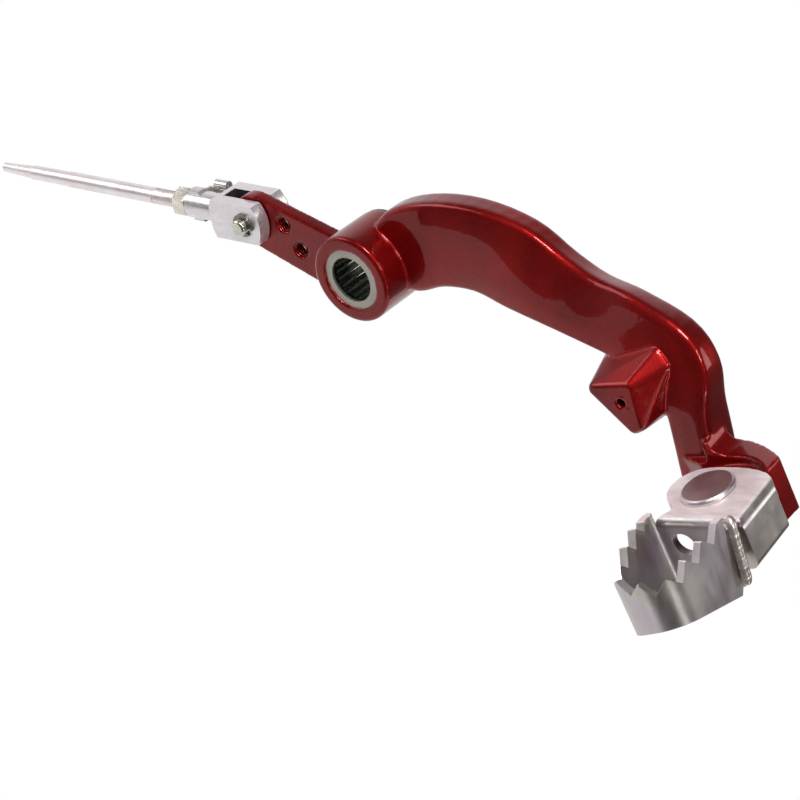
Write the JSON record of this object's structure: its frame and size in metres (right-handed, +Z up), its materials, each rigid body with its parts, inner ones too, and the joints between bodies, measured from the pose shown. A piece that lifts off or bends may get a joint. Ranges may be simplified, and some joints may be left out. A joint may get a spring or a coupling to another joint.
{
  "type": "motorcycle rear brake pedal",
  "caption": "Forged rear brake pedal with a needle-bearing pivot, a folding saw-tooth toe piece, and a clevis with a push rod on its rear lever.",
  "frame": {"origin": "centre of the pivot bore, on its axis", "axes": "+X forward to the toe piece, +Y inboard along the pivot bore to the machine, +Z up"},
  "size_m": [0.3553, 0.0944, 0.0921],
  "materials": {
    "red_paint": "gloss",
    "bearing_steel": "satin",
    "cage_steel": "satin",
    "needle_steel": "polished",
    "seal_rubber": "matt",
    "zinc_steel": "bright plated",
    "weld_steel": "bright",
    "pin_steel": "satin",
    "spring_steel": "satin",
    "clevis_zinc": "satin",
    "yellow_zinc": "satin",
    "dark_steel": "satin",
    "clip_steel": "satin",
    "nut_zinc": "bright",
    "rod_zinc": "bright plated"
  },
  "bodies": {
    "pedal": {"pedal_arm": "red_paint", "bearing_cup": "bearing_steel", "dust_seal": "seal_rubber", "toe_spring": "spring_steel"},
    "rollers": {"bearing_cage": "cage_steel", "bearing_needles": "needle_steel"},
    "toe": {"toe_piece": "zinc_steel", "toe_weld": "weld_steel", "toe_pin": "pin_steel"},
    "linkage": {"clevis": "clevis_zinc", "clevis_pin": "yellow_zinc", "pin_circlip": "dark_steel", "pin_clip": "clip_steel", "locknut": "nut_zinc", "push_rod": "rod_zinc"}
  },
  "joints": [
    {"name": "cage_spin", "type": "hinge", "parent": "pedal", "child": "rollers", "pos_m": [0, 0, 0], "axis": [0, 1, 0], "continuous": true},
    {"name": "toe_fold", "type": "hinge", "parent": "pedal", "child": "toe", "pos_m": [0.1471, -0.0298, -0.035], "axis": [-0.2409, -0.0906, 0.9663], "range_deg": [-90, 0], "stiffness_Nm_per_rad": 0.3, "springref_deg": 20.05},
    {"name": "clevis_swing", "type": "hinge", "parent": "pedal", "child": "linkage", "pos_m": [-0.049, 0, 0.0115], "axis": [0, 1, 0], "range_deg": [-25, 25]}
  ]
}
